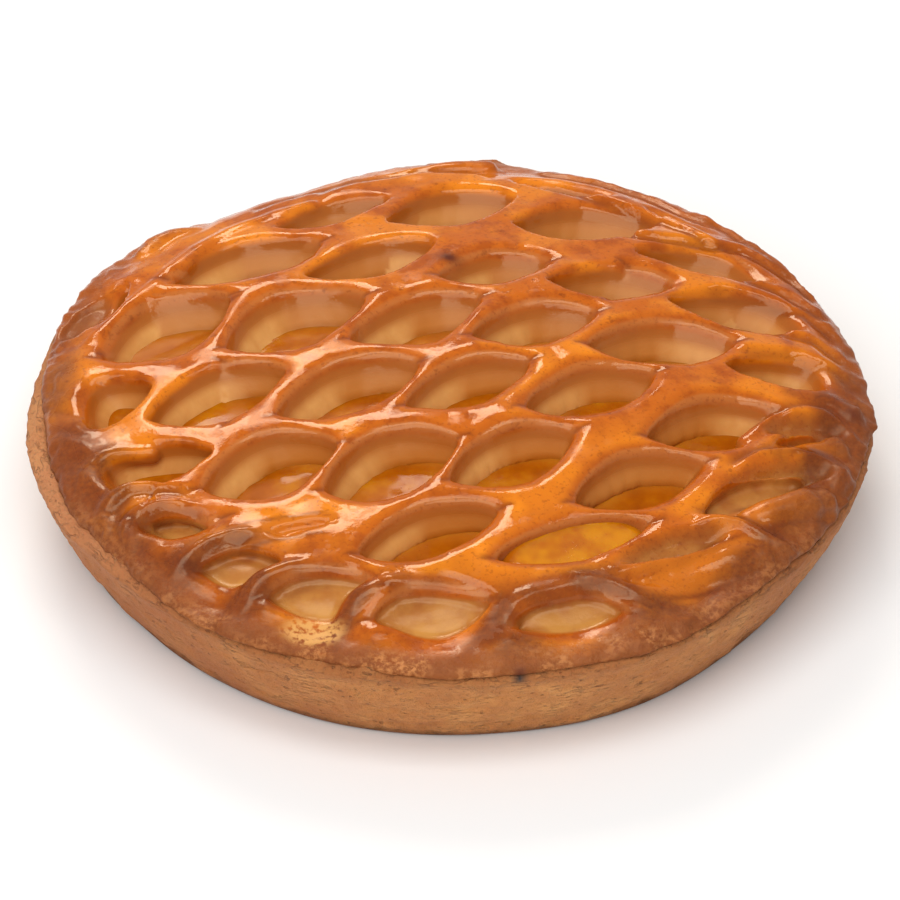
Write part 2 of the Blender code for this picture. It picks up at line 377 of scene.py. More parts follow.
lattice = {
    "voxel": 0.83 * mm,
    "softRounds": 6,
    "undersideShare": 0.12,
    "undersideBelow": 27.5 * mm,
    "crown": 0.9 * mm,
    "crownWidth": 2.9 * mm,
    "wallSlope": 1.0 * mm,
    "wallSlopeLeft": 1.8 * mm,
    "swell": 0.30 * mm,
    "wrinkle": 0.05 * mm,
    "dimple": 0.16 * mm,
    "pleat": 0.55 * mm,
    "tipCrease": 0.15 * mm,
    "ragged": 0.70 * mm,
    "pressed": 0.70,
    "floorThickness": 2.4 * mm,
    "ropeReach": 97.5,
    # the part at the left where the strands are flatter: x, y, half length, half width in mm
    "flatterPart": (-42, -18, 46, 42),
    # strands that arch over the pockets near the edge, as routes of x, y, depth of the top under
    # the dome, and radius, in mm
    "arches": {
        "archOne": ((-64, -69, 0.3, 1.8), (-62, -65, -1, 2.8), (-55, -60, -1.2, 3),
            (-46, -58, -0.6, 2.8), (-37, -62, 0.2, 2.4)),
        "archTwo": ((-52, -83, 0.8, 2.4), (-48, -77, -1.2, 3.2), (-42, -71, -1.4, 3.2),
            (-33, -68, -1, 3), (-18, -70, 0.2, 2.6)),
        "archThree": ((-28, -91, 1.6, 2.4), (-25, -84, -0.6, 3), (-20, -77, -1.2, 3.2),
            (-11, -74, -1, 3.2), (10, -76, 0.2, 2.6)),
        "archFour": ((4, -90, 1.8, 2.4), (10, -85, -0.4, 3), (15, -79, -1.2, 3.2),
            (23, -75, -1.4, 3.2), (33, -73, -1.4, 3.2), (43, -76, -0.8, 3),
            (54, -79, 0.8, 2.6)),
        "archFive": ((26, -73, 0.4, 2.4), (36, -70, -0.6, 2.8), (48, -65, -1, 3),
            (60, -58, -0.4, 2.6)),
        "archZero": ((-73, -56, 0.2, 1.7), (-74, -49, -1, 2.8), (-68, -46, -1.2, 2.8),
            (-60, -47, -0.6, 2.6), (-52, -53, 0.4, 2.2)),
        "foldTwo": ((-79, -49, 0.3, 1.7), (-80, -43, -1, 2.8), (-74, -39, -1, 2.8),
            (-63, -41, 0.3, 2.4)),
        "foldOne": ((-85, -38, 0.3, 1.7), (-85, -31, -0.9, 2.8), (-80, -25, -0.9, 2.8),
            (-70, -25, 0.3, 2.2)),
        "rightArchOne": ((69, -21, 0.3, 2.4), (76, -14, -0.9, 3), (86, -10, -0.9, 3.2),
            (94, -14, 0.5, 2.6)),
        "rightArchTwo": ((63, -36, 0.3, 2.4), (72, -28, -1, 3), (81, -25, -1, 3.2),
            (90, -28, -0.6, 3.4), (93, -34, 0.8, 2.8)),
        "rightArchThree": ((44, -60, 0.3, 2.4), (55, -55, -0.8, 2.8), (66, -51, -1, 3),
            (74, -55, -0.8, 3.2), (82, -58, 0.6, 3)),
        "burntFlap": ((80, -3, 0.3, 2.8), (90, -4, -0.9, 3.6), (98, -7, 0, 3.4)),
        "backLeftStrand": ((-93, 11, 0.6, 2.2), (-84, 22, -0.6, 2.8), (-76, 33, -0.9, 3),
            (-68, 45, -1, 3.2), (-61, 55, -0.8, 3), (-51, 64, -0.4, 2.6),
            (-34, 74, 0.3, 2.2)),
        "backTip": ((-16, 88, 0.4, 2.2), (-4, 91.5, -1.4, 2.8), (9, 93, -1.8, 3)),
        "backBump": ((-75, 57, 0.6, 3), (-70, 64, -1.2, 3.4), (-63, 67, 0.4, 2.8)),
    },
    # how brown the arches' tops are
    "archBrown": 0.7,
    "archBrownOf": {"foldOne": 0.8, "foldTwo": 0.8, "rightArchOne": 0.55, "rightArchTwo": 0.55,
                    "rightArchThree": 0.55, "backLeftStrand": 0.1, "backTip": 0.1, "backBump": 0.1},
    # the lower strands, seen below an arch, in the same way
    "ledges": {
        "ledgeSlit": ((-50, -58.5, 2.2, 2.4), (-38, -57, 1.5, 3), (-26, -55.5, 2, 2.4)),
        "ledgeRightOne": ((75, -24, 3.4, 2.8), (83, -22, 2.6, 3.4), (91, -20, 2.6, 3.2)),
        "ledgeRightTwo": ((65, -49, 3.4, 3), (73, -45.5, 2.4, 4.4), (82, -41.5, 2.2, 4.6),
            (89, -40, 2.6, 3.8)),
        "ledgeRightThree": ((45, -71, 3.6, 2.8), (55, -67, 2.6, 3.8), (64, -62, 2.4, 4.2),
            (71, -58.5, 2.6, 3.4)),
    },
    # crescents pressed into the lid above those strands: x, y, half length, half width, tilt, depth
    "hollows": (
        (83, -15.5, 11, 3.6, 13, 3),
        (77, -33.5, 14, 3.9, 24, 3.2),
        (51, -60.5, 15, 3.9, 27, 3),
        (-88, 31, 10, 4.2, 52, 2),
    ),
    # pale dough at the bottom of the pockets: x, y, depth, half length and half width in mm, tilt
    "pocketFloors": (
        (-49, -65.5, 2.8, 10.5, 6.2, -4),
        (-30, -74, 2.1, 12, 7.2, 4),
        (-4.5, -79.5, 2.1, 12.5, 7.4, 10),
        (27, -78.5, 2, 12, 7, 14),
        (47, -62.5, 4, 12.5, 5, 26),
        (-64, -50, 4.4, 9, 4.2, 4),
        (70, -38.5, 3.6, 14, 5.4, 32),
        (54, -60, 4, 12, 4, 26),
    ),
    # where the lid lies low in front of the first holes: x, y, half length, half width in mm, tilt
    "frontDips": (
        (30, -85.5, 12, 7, 18),
        (-3, -88, 12, 7, 8),
        (-30, -85, 10, 7, -10),
        (-54, -76, 9, 6, -36),
        (58, -71, 13, 6, 32),
    ),
    # raised edges where a strand laps over the next, with a valley on the right-hand side: a route
    # of x and y, and the height, in mm
    "laps": (
        (((22, 84), (40, 75), (54, 66), (68, 55)), 0.8),
        (((30, 62), (48, 58), (60, 58), (71, 59), (82, 50), (91, 39)), 1.1),
        (((44, 52), (58, 47), (70, 43), (82, 40), (92, 30)), 1),
        (((60, 36), (74, 35), (86, 32), (95, 22)), 0.9),
        (((62, 22), (76, 23), (88, 20), (97, 12)), 0.8),
        (((66, 11), (80, 13.5), (92, 10), (98, 3)), 0.6),
        (((20, 93), (36, 89), (52, 80), (66, 68)), 0.7),
        (((58, 77), (68, 69), (77, 59), (87, 46)), 0.7),
        (((-20, 86), (-36, 80), (-50, 71)), 0.7),
        (((10, 87), (-6, 88), (-20, 84), (-34, 78)), 0.8),
        (((64, -78), (56, -81), (42, -79), (32, -76)), 0.7),
        (((86, -64), (80, -66), (70, -70), (60, -73)), 0.7),
        (((84, -60), (76, -55.5), (66, -51.5), (54, -50)), 1),
        (((95, -31), (88, -27), (80, -25), (72, -28), (64, -35)), 0.9),
        (((92, -9), (84, -9), (76, -13), (70, -20)), 0.8),
        (((-62, -68), (-58, -62), (-52, -58), (-42, -57)), 0.8),
        (((-74, -54), (-70, -47), (-62, -46), (-54, -50)), 0.8),
        (((-80, -46), (-75, -39), (-66, -39), (-58, -42)), 0.8),
    ),
    # spots on the top: share, then x, y, half length, half width in mm, tilt
    "browner": ((0.8, 92, -8, 7, 5), (0.5, -84, -44, 9, 5, -60), (0.6, 53, -80, 13, 4.5, 15),
                (0.4, 86, -54, 6, 8, 40), (0.8, 15, -91, 6, 4, 20), (0.8, 9, -86, 3, 7, -30),
                (0.8, -25, -84, 3, 7, -25), (0.7, -47, -77, 3.5, 7, -40), (0.5, 42, -75, 8, 3, -15),
                (0.5, 30, -73, 7, 2.5), (0.65, -88, -25, 7, 15, -15), (0.35, -93, 9, 5, 14)),
    "brownerInPatches": ((0.75, 90, -38, 7, 13, 35), (0.65, 70, -64, 13, 4, 32)),
    "amber": ((0.8, 12, -68, 26, 7, 4), (0.7, -28, -50, 14, 7), (0.55, 20, -48, 14, 9, 20),
              (0.4, 34, 7, 9, 7), (0.6, 40, -30, 10, 6, 40), (0.5, -60, 44, 5, 18, -40),
              (0.5, 0, 86, 30, 5), (0.5, 20, -10, 8, 5)),
    "burnt": ((0.8, 95, -8, 3, 2), (1.1, -0.5, 42.5, 2.6, 2), (0.9, 15.5, -97.5, 1.5, 1.2),
              (0.7, -61, -65, 1.8, 1.2)),
    "crumbs": ((1, -31, -85, 8, 5, -6),),
    # colours of the dough from its top down to the bottom of a hole; the darker band just under the top is
    # painted shade
    "dough": ((0.00, (0.540, 0.120, 0.006)), (0.12, (0.480, 0.104, 0.006)),
              (0.22, (0.400, 0.105, 0.013)), (0.34, (0.400, 0.115, 0.016)),
              (0.50, (0.470, 0.155, 0.026)), (0.70, (0.490, 0.168, 0.026)),
              (0.84, (0.400, 0.120, 0.010)), (0.95, (0.330, 0.090, 0.003))),
    "tones": {
        "shoulder": (0.360, 0.070, 0.006),
        "redder": (0.330, 0.054, 0.003),
        "amber": (0.780, 0.225, 0.008),
        "creamWall": (0.680, 0.330, 0.092),
        "floor": (0.320, 0.088, 0.015),
        "floorNear": (0.540, 0.235, 0.046),
        "ledge": (0.580, 0.150, 0.009),
        "lipHighlight": (0.500, 0.170, 0.042),
        "crease": (0.180, 0.028, 0.003),
        "valley": (0.170, 0.030, 0.004),
        "baked": (0.135, 0.026, 0.006),
        "crust": (0.270, 0.072, 0.017),
        "sandyCrust": (0.560, 0.215, 0.065),
        "freckle": (0.220, 0.032, 0.003),
        "blot": (0.170, 0.026, 0.003),
        "burnt": (0.110, 0.018, 0.007),
        "crumb": (0.700, 0.350, 0.100),
    },
}


def ropePlace(x, y, drop, thickness):
    # on the dome, that far below its top, but kept on the case's rim and inside the lid's edge
    reach = math.hypot(x, y)
    inward = min(1, (lattice["ropeReach"] - 0.8 * thickness) / reach)
    height = float(domeHeight(reach * mm)) / mm - drop - thickness
    return x * inward * mm, y * inward * mm, max(height, shape["rimHeight"] / mm + 0.75 * thickness) * mm


def addRope(name, route):
    bpy.ops.curve.primitive_nurbs_path_add(radius=mm, location=(0, 0, 0))
    rope = bpy.context.object
    rope.name = name
    rope.data.splines.clear()
    spline = rope.data.splines.new("BEZIER")
    spline.bezier_points.add(len(route) - 1)
    for point, (x, y, drop, thickness) in zip(spline.bezier_points, route):
        point.co = ropePlace(x, y, drop, thickness)
        point.radius = thickness
        point.handle_left_type = point.handle_right_type = "AUTO"
    rope.data.dimensions = "3D"
    rope.data.bevel_depth = mm
    rope.data.bevel_resolution = 4
    rope.data.use_fill_caps = True
    pick(rope)
    bpy.ops.object.convert(target="MESH")
    knobs = []
    for end in (route[0], route[-1]):
        bpy.ops.mesh.primitive_uv_sphere_add(
            segments=20, ring_count=12, radius=end[3] * mm, location=ropePlace(*end))
        knobs.append(bpy.context.object)
        applyPlace(knobs[-1])
    return joinInto(rope, knobs)


def addFloor(x, y, drop, length, width, tilt):
    # a flat pebble of dough that lies along the dome and closes a pocket
    thick = lattice["floorThickness"]
    steep = 2 * (shape["lidTop"] - shape["lidEdgeTop"]) / shape["lidEdgeAt"] ** 2
    upward = Vector((x * mm * steep, y * mm * steep, 1))
    lean = Vector((0, 0, 1)).rotation_difference(upward) @ Quaternion((0, 0, 1), math.radians(tilt))
    height = float(domeHeight(math.hypot(x, y) * mm)) - drop * mm - thick
    bpy.ops.mesh.primitive_uv_sphere_add(
        segments=40, ring_count=20, radius=1, location=(x * mm, y * mm, height))
    pebble = bpy.context.object
    pebble.name = "pocketFloor"
    pebble.scale = (length * mm, width * mm, thick)
    pebble.rotation_euler = lean.to_euler()
    applyPlace(pebble)
    return pebble


def holeRims(piece):
    # the rings where the holes' walls turn down from the top, as arrays of points round each hole
    flat, steepest, steep, widest = 0.9, 0.1, 0.86, 60 * mm
    mesh = piece.data
    upward = {}
    for face in mesh.polygons:
        for key in face.edge_keys:
            upward.setdefault(key, []).append(face.normal.z)
    links = {}
    for (a, b), sides in upward.items():
        if max(sides) > flat and steepest < min(sides) < steep:
            links.setdefault(a, []).append(b)
            links.setdefault(b, []).append(a)
    rims = []
    left = set(links)
    while left:
        ring = [left.pop()]
        while True:
            ahead = [near for near in links[ring[-1]] if near in left]
            if not ahead:
                break
            ring.append(ahead[0])
            left.discard(ahead[0])
        points = np.array([mesh.vertices[index].co for index in ring])
        if len(ring) > 9 and np.ptp(points[:, 0]) < widest:
            rims.append(points)
    return rims


def densify(ring, spacing):
    points = []
    for first, second in zip(ring, np.roll(ring, -1, axis=0)):
        count = max(1, int(np.linalg.norm(second - first) / spacing))
        points += [first + (second - first) * step / count for step in range(count)]
    return np.array(points)


def rimDistance(points, rims):
    # distance in plan to the nearest hole rim, negative inside a hole, and which hole it is
    dense = [densify(ring, 0.4 * mm) for ring in rims]
    owners = np.concatenate([np.full(len(ring), index) for index, ring in enumerate(dense)])
    places = np.concatenate(dense)
    centres = np.array([ring.mean(axis=0) for ring in dense])
    tree = KDTree(len(places))
    for index, (x, y, z) in enumerate(places):
        tree.insert((x, y, 0), index)
    tree.balance()
    nearest = np.array([tree.find((x, y, 0))[1] for x, y, z in points])
    hole = owners[nearest]
    away = points[:, :2] - places[nearest, :2]
    outward = places[nearest, :2] - centres[hole, :2]
    side = np.sign((away * outward).sum(axis=1))
    return side * np.linalg.norm(away, axis=1), hole, centres


def alongRoute(points, route):
    # signed distance in metres to a route, positive on its right, and a fade towards its two ends
    best = np.full(len(points), 1.0)
    signed = np.zeros(len(points))
    place = np.zeros(len(points))
    corners = np.array([corner[:2] for corner in route]) * mm
    steps = np.linalg.norm(np.diff(corners, axis=0), axis=1)
    start = np.concatenate([[0], np.cumsum(steps)])
    for index, (a, b) in enumerate(zip(corners, corners[1:])):
        ahead = (b - a) / steps[index]
        local = points[:, :2] - a
        along = np.clip(local @ ahead, 0, steps[index])
        across = local - along[:, None] * ahead
        distance = np.linalg.norm(across, axis=1)
        nearer = distance < best
        best = np.where(nearer, distance, best)
        side = np.sign(local[:, 0] * ahead[1] - local[:, 1] * ahead[0])
        signed = np.where(nearer, side * distance, signed)
        place = np.where(nearer, start[index] + along, place)
    ends = smoothStep(np.minimum(place, start[-1] - place), 0, 5 * mm)
    return signed, ends


def tipRoutes(rims):
    # short creases that carry on from both tips of each hole
    before, after, sideways = 2.5 * mm, 5 * mm, (1, 0.55)
    routes = []
    for ring in rims:
        centre = ring.mean(axis=0)
        away = np.linalg.norm(ring - centre, axis=1)
        first = ring[int(np.argmax(away))]
        opposite = np.where((ring - centre) @ (first - centre) < 0, away, 0)
        second = ring[int(np.argmax(opposite))]
        for tip in (first, second):
            ahead = (tip - centre)[:2] / np.linalg.norm((tip - centre)[:2])
            turned = ahead * sideways / np.linalg.norm(ahead * sideways)
            start = (tip[:2] - before * ahead) / mm
            end = (tip[:2] + after * turned) / mm
            routes.append((tuple(start), tuple(tip[:2] / mm), tuple(end)))
    return routes


def tipCreases(points, rims):
    reach, width = 9 * mm, 0.7 * mm
    crease = np.zeros(len(points))
    for route in tipRoutes(rims):
        near = np.linalg.norm(points[:, :2] - np.array(route[1]) * mm, axis=1) < reach
        signed, ends = alongRoute(points[near], route)
        fade = smoothStep(ends, 0, 0.5)
        crease[near] = np.maximum(crease[near], fade * np.exp(-(signed / width) ** 2))
    return crease


def rimPleats(points, radius, bearing):
    # folds that run slantwise over the outer edge, quieter at the back right
    along = np.radians(bearing) * 90 * mm + 0.9 * radius
    folded = np.stack([along, 0.35 * radius, np.zeros(len(points))], axis=1)
    folds = np.abs(lumps(folded, 9 * mm, 21.7)) * 2 - 0.5
    fine = lumps(folded, 4 * mm, 5.9)
    calm = 1 - 0.9 * aroundBearing(bearing, 48, 60)
    return (folds + 0.35 * fine) * calm * smoothStep(radius, 84 * mm, 93 * mm)


def pressFrontDown(points):
    low = np.zeros(len(points))
    for dip in lattice["frontDips"]:
        low = np.maximum(low, around(points, *dip))
    lowest = shape["rimHeight"] + 0.7 * mm
    points[:, 2] -= lattice["pressed"] * low * np.clip(points[:, 2] - lowest, 0, None)


def lapRelief(points):
    # how far each point is raised, and how deep it lies in a valley, which is painted as shade
    edgeAt, backWidth, frontWidth = -0.3 * mm, 3.4 * mm, 0.7 * mm
    valleyAt, valleyWidth = 1.9 * mm, 1.4 * mm
    lift = np.zeros(len(points))
    valley = np.zeros(len(points))
    wander = 0.8 * mm * lumps(points, 18 * mm, 11.3)
    for route, height in lattice["laps"]:
        signed, ends = alongRoute(points, route)
        signed = signed + wander
        edge = np.exp(-(np.minimum(signed - edgeAt, 0) / backWidth) ** 2)
        edge = edge * np.exp(-(np.maximum(signed - edgeAt, 0) / frontWidth) ** 2)
        dip = np.exp(-((signed - valleyAt) / valleyWidth) ** 2)
        lift += ends * height * mm * (0.8 * edge - 0.7 * dip)
        valley = np.maximum(valley, ends * dip * min(height, 1))
    return lift, valley


def ledgeShare(points):
    # 1 on the lower strands' tops, and a thin line of painted shadow round each of them
    share = np.zeros(len(points))
    line = np.zeros(len(points))
    for route in lattice["ledges"].values():
        signed, ends = alongRoute(points, route)
        away = np.abs(signed)
        reach = max(point[3] for point in route) * mm
        share = np.maximum(share, fadeOut(away, 0.75 * reach, 1.15 * reach))
        line = np.maximum(line, ends * np.exp(-((away - 1.1 * reach) / (0.6 * mm)) ** 2))
    return share, line


def archShare(points):
    # how brown the arches make each point
    width = 3.2 * mm
    share = np.zeros(len(points))
    for name, route in lattice["arches"].items():
        brown = lattice["archBrownOf"].get(name, lattice["archBrown"])
        share = np.maximum(share, brown * np.exp(-(alongRoute(points, route)[0] / width) ** 2))
    return share


def pressHollows(points, top):
    # pushes the crescents down and returns how deep each point lies in one
    share = np.zeros(len(points))
    for x, y, length, width, tilt, depth in lattice["hollows"]:
        inside = smoothStep(around(points, x, y, length, width, tilt), 0.30, 0.72)
        points[:, 2] -= depth * mm * inside * top
        share = np.maximum(share, inside)
    return share


def floorShare(points):
    # how far each point belongs to a pocket's floor, and how near its front edge it is
    share = np.zeros(len(points))
    near = np.zeros(len(points))
    for x, y, drop, length, width, tilt in lattice["pocketFloors"]:
        here = around(points, x, y, length, width, tilt)
        turn = math.radians(tilt)
        across = (points[:, 1] / mm - y) * math.cos(turn) - (points[:, 0] / mm - x) * math.sin(turn)
        near = np.where(here > share, np.clip(0.5 - 0.6 * across / width, 0, 1), near)
        share = np.maximum(share, here)
    return smoothStep(share, 0.2, 0.6), near


def pocketShade(points):
    # painted shade under the arches, on the far and left sides of the front pockets
    frontOnly = -64
    share = np.zeros(len(points))
    for x, y, drop, length, width, tilt in lattice["pocketFloors"]:
        if y < frontOnly:
            ring = smoothStep(around(points, x - 1.5, y + 1.5, 1.35 * length, 1.5 * width, tilt), 0.15, 0.5)
            behind = smoothStep((points[:, 1] - 0.5 * points[:, 0]) / mm - y + 0.5 * x, -3, 3)
            share = np.maximum(share, ring * behind)
    return share


def thinUnderside(piece):
    # the hidden underside needs few faces
    group = piece.vertex_groups.new(name="underside")
    normals = normalsOf(piece)
    points = pointsOf(piece)
    radius = np.hypot(points[:, 0], points[:, 1])
    below = domeHeight(radius) - points[:, 2] > 0.75 * shape["lidThickness"]
    inCase = points[:, 2] < lattice["undersideBelow"]
    hidden = np.nonzero((normals[:, 2] < -0.5) & (below | inCase))[0]
    group.add([int(index) for index in hidden], 1.0, "REPLACE")
    share = 1 - (1 - lattice["undersideShare"]) * len(hidden) / len(points)
    addModifier(piece, "DECIMATE", ratio=share, vertex_group="underside", vertex_group_factor=1000)
    piece.vertex_groups.clear()


def makeLattice():
    piece = cadCopy("lattice_lid", "glazedLattice")
    rims = holeRims(piece)
    routes = {**lattice["arches"], **lattice["ledges"]}
    extras = [addRope(name, route) for name, route in routes.items()]
    extras += [addFloor(*floor) for floor in lattice["pocketFloors"]]
    joinInto(piece, extras)
    remeshAt(piece, lattice["voxel"])
    addModifier(piece, "SMOOTH", factor=0.5, iterations=lattice["softRounds"])
    thinUnderside(piece)
    shapeTheStrands(piece, rims)
    return piece, rims


def unevenDough(points, radius, bearing, flatter):
    # swells, dimples and wrinkles, quieter at the back right
    uneven = lattice["swell"] * (1 + 0.9 * flatter) * lumps(points, 12 * mm, 3.1)
    uneven += lattice["dimple"] * lumps(points, 6 * mm, 14.2)
    uneven += lattice["wrinkle"] * lumps(points, 3 * mm, 7.7)
    return uneven * (1 - 0.6 * aroundBearing(bearing, 50, 45) * smoothStep(radius, 72 * mm, 84 * mm))


def leanWalls(points, normals, distance, depth, radius):
    # the walls lean into the holes as they go down, most on the left
    upright = fadeOut(np.abs(normals[:, 2]), 0.5, 0.85)
    wall = upright * smoothStep(-distance, -1 * mm, 0.5 * mm) * (radius < 88 * mm)
    lean = lattice["wallSlope"] + lattice["wallSlopeLeft"] * np.clip(normals[:, 0], 0, 1)
    lean = lean * wall * smoothStep(depth, 1.5 * mm, 8 * mm)
    points[:, :2] += normals[:, :2] * lean[:, None]


def ragTheEdge(points, radius, bearing):
    edge = smoothStep(radius, 92 * mm, 96 * mm) * (1 - 0.6 * aroundBearing(bearing, 80, 70))
    ragged = lattice["ragged"] * edge * (lumps(points, 4 * mm, 2.9) + 0.6 * lumps(points, 2 * mm, 6.1))
    points[:, :2] *= (1 + ragged / np.maximum(radius, 1 * mm))[:, None]
    points[:, 2] += 0.5 * ragged


def shapeTheStrands(piece, rims):
    points = pointsOf(piece)
    normals = normalsOf(piece)
    upward = normals[:, 2]
    radius = np.hypot(points[:, 0], points[:, 1])
    bearing = bearingOf(points)
    distance, hole, centres = rimDistance(points, rims)
    depth = domeHeight(radius) - points[:, 2]
    top = smoothStep(upward, 0.2, 0.7) * fadeOut(depth, 1.5 * mm, 3.5 * mm)
    inner = fadeOut(radius, 88 * mm, 94 * mm)
    ledge, shadowLine = ledgeShare(points)
    ledge = ledge * smoothStep(upward, 0.2, 0.5) * fadeOut(depth, 5 * mm, 7 * mm)
    floor, near = floorShare(points)
    floor = floor * smoothStep(depth, 1.0 * mm, 2.2 * mm) * (1 - ledge)
    flatter = around(points, *lattice["flatterPart"])
    outside = np.clip(distance, 0, None)
    crown = lattice["crown"] * smoothStep(outside, -0.5 * mm, lattice["crownWidth"])
    crown = crown * inner * (1 - 0.7 * flatter)
    uneven = unevenDough(points, radius, bearing, flatter)
    laid, valley = lapRelief(points)
    pleats = rimPleats(points, radius, bearing)
    creases = tipCreases(points, rims)
    points[:, 2] += top * (crown + laid + lattice["pleat"] * pleats - lattice["tipCrease"] * creases)
    points += normals * uneven[:, None]
    leanWalls(points, normals, distance, depth, radius)
    hollow = pressHollows(points, top * (1 - ledge))
    pressFrontDown(points)
    ragTheEdge(points, radius, bearing)
    movePoints(piece, points)
    toHole = points[:, :2] - centres[hole][:, :2]
    leftness = -toHole[:, 0] / np.maximum(np.linalg.norm(toHole, axis=1), 1 * mm)
    rightHole = smoothStep(centres[hole][:, 0], 30 * mm, 60 * mm)
    # painted shade in the lap valleys, the troughs of the pleats and along the lines round the lower
    # strands
    dark = valley * top - 0.7 * np.minimum(pleats, 0) * top + shadowLine * smoothStep(upward, 0.1, 0.4)
    keepValues(
        piece, rim=distance / mm, ledge=ledge, near=near, crease=creases * top,
        cream=np.clip(leftness * (1 - 2 * rightHole) + 0.35 * rightHole, 0, 1),
        facing=smoothStep(-normals[:, 1], -0.15, 0.35),
        floor=np.maximum(floor, hollow * top * (1 - ledge)),
        depth=np.clip(depth / shape["lidThickness"], 0, 1), valley=np.clip(dark, 0, 1))
    bakeTheLattice(piece, radius, bearing)


def bakeTheLattice(piece, radius, bearing):
    points = pointsOf(piece)
    front = aroundBearing(bearing, -90, 50)
    left = aroundBearing(bearing, 210, 34)
    right = aroundBearing(bearing, -22, 34)
    edge = smoothStep(radius, 87 * mm - 9 * mm * np.maximum(left, 0.8 * right), 98 * mm)
    dark = 0.40 + 0.60 * left + 0.60 * right + 0.25 * front
    mottle = 0.5 + 0.5 * lumps(points, 9 * mm, 1.3)
    patchy = np.clip(0.80 + 0.9 * lumps(points, 6 * mm, 8.3), 0.35, 1.3)
    spots = spotted(points, lattice["browner"]) + patchy * spotted(points, lattice["brownerInPatches"])
    spots += 0.70 * archShare(points) * patchy * smoothStep(radius, 66 * mm, 82 * mm)
    # painted shade under the front arches, carried in with the browning
    spots += 0.35 * pocketShade(points) * (0.7 + 0.3 * patchy)
    baked = edge * dark * (0.5 + 1.0 * mottle) + spots * (0.6 + 0.6 * mottle)
    dull = smoothStep(radius, 91 * mm, 96 * mm) * (0.12 + 0.88 * front)
    keepValues(
        piece, bake=np.clip(baked, 0, 1), dull=np.clip(dull, 0, 1),
        outer=smoothStep(radius, 87 * mm, 95 * mm),
        glow=np.clip(spotted(points, lattice["amber"]), 0, 0.8),
        crumb=spotted(points, lattice["crumbs"]),
        burn=np.clip(spotted(points, lattice["burnt"]), 0, 1))


